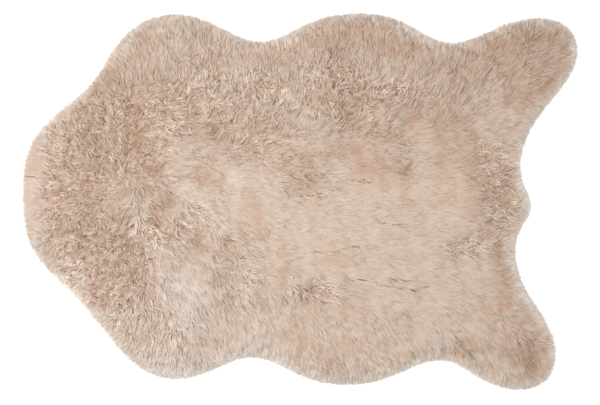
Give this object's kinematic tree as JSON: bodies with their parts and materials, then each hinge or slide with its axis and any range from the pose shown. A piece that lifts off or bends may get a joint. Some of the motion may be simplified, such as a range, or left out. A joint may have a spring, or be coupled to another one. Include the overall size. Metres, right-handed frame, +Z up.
{
  "type": "faux sheepskin rug",
  "caption": "Hide-shaped floor rug of long, soft taupe pile that lies flat, with a rounded head end, two hind legs and a shaggy rim",
  "frame": {"origin": "on the floor, under the middle of the rug's overall box", "axes": "+X along the length, from the rounded head end to the two hind legs; +Y across the rug; +Z up, out of the fur"},
  "size_m": [2.7, 1.84, 0.0461],
  "materials": {
    "fur": "long soft pile, matt with a light sheen along the hairs"
  },
  "bodies": {
    "root": {"fur_rug": "fur"}
  },
  "joints": []
}
